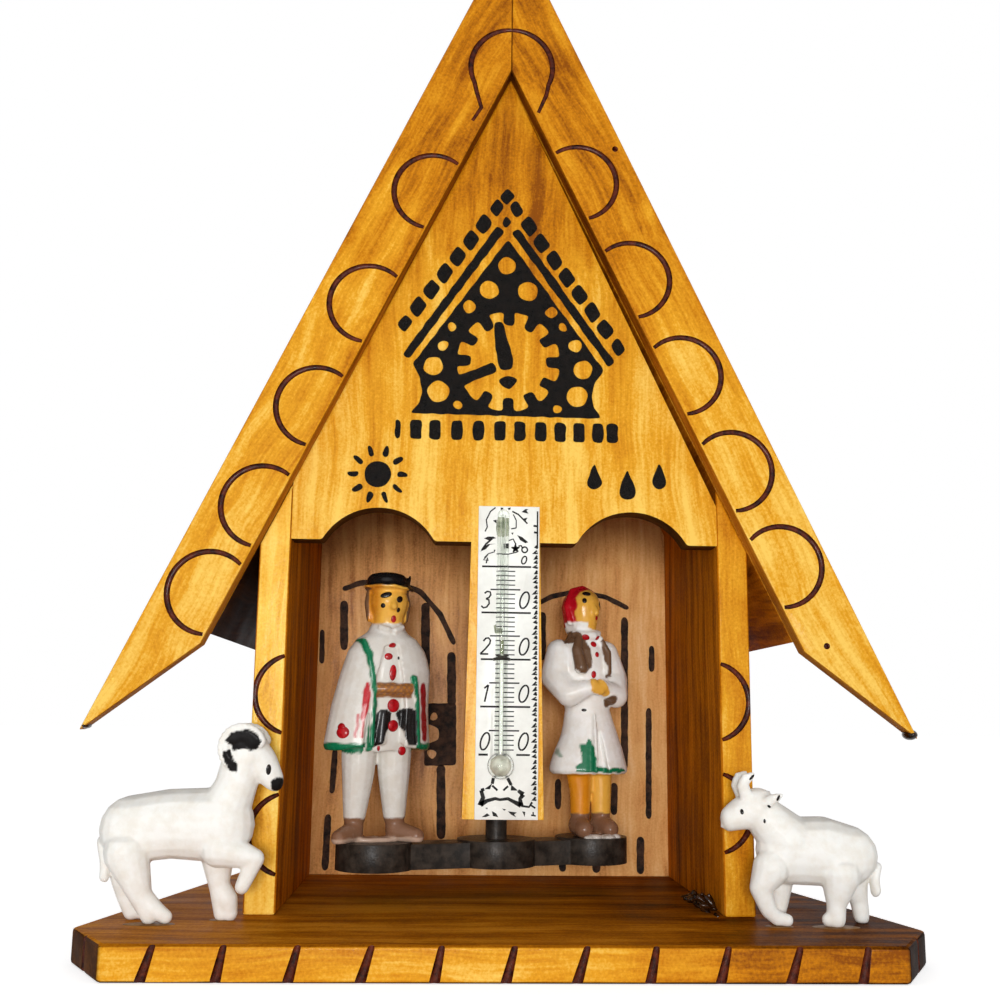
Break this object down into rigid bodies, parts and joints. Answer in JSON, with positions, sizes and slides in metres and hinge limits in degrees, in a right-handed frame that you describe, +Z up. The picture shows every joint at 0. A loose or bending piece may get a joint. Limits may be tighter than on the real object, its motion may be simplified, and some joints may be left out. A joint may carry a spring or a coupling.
{
  "type": "weather house",
  "caption": "Gabled wooden weather house with a swinging beam that carries a man and a woman, a thermometer on the front and farm animals on the base.",
  "frame": {"origin": "centre of the base's underside", "axes": "+Z up, the front with the doorways towards -Y, +X to the viewer's right"},
  "size_m": [0.158, 0.095, 0.2087],
  "materials": {
    "varnished_wood": "golden pine under glossy varnish",
    "floor_wood": "brown stained pine under varnish",
    "pale_pine": "pale pine, thinly varnished",
    "dark_plastic": "moulded, semi-gloss",
    "painted_plastic": "white moulding with hand-painted details",
    "white_plastic": "white moulding, satin",
    "gut": "twisted gut",
    "printed_card": "white card with black print",
    "clear_glass": "drawn glass",
    "spirit": "faded thermometer spirit",
    "wire": "dull wire"
  },
  "bodies": {
    "house": {"base_board": "floor_wood", "left_wall": "varnished_wood", "right_wall": "varnished_wood", "back_wall": "pale_pine", "gable_board": "varnished_wood", "left_roof_board": "varnished_wood", "right_roof_board": "varnished_wood", "left_bargeboard": "varnished_wood", "right_bargeboard": "varnished_wood", "thermometer_scale": "printed_card", "thermometer_tube": "clear_glass", "thermometer_fluid": "spirit", "tube_tie": "wire", "ram_figure": "white_plastic", "sheep_figure": "white_plastic", "base_brads": "wire", "roof_brads": "wire"},
    "swing": {"figure_beam": "dark_plastic", "man_figure": "painted_plastic", "woman_figure": "painted_plastic", "gut_strand": "gut"},
    "adjuster": {"adjusting_peg": "varnished_wood"}
  },
  "joints": [
    {"name": "beam_swing", "type": "hinge", "parent": "house", "child": "swing", "pos_m": [0, 0.0095, 0.0174], "axis": [0, 0, 1], "range_deg": [-65, 25], "stiffness_Nm_per_rad": 0.00025},
    {"name": "peg_turn", "type": "hinge", "parent": "house", "child": "adjuster", "pos_m": [0, 0.0095, 0.18], "axis": [0, 0, 1], "range_deg": [-180, 180]}
  ]
}
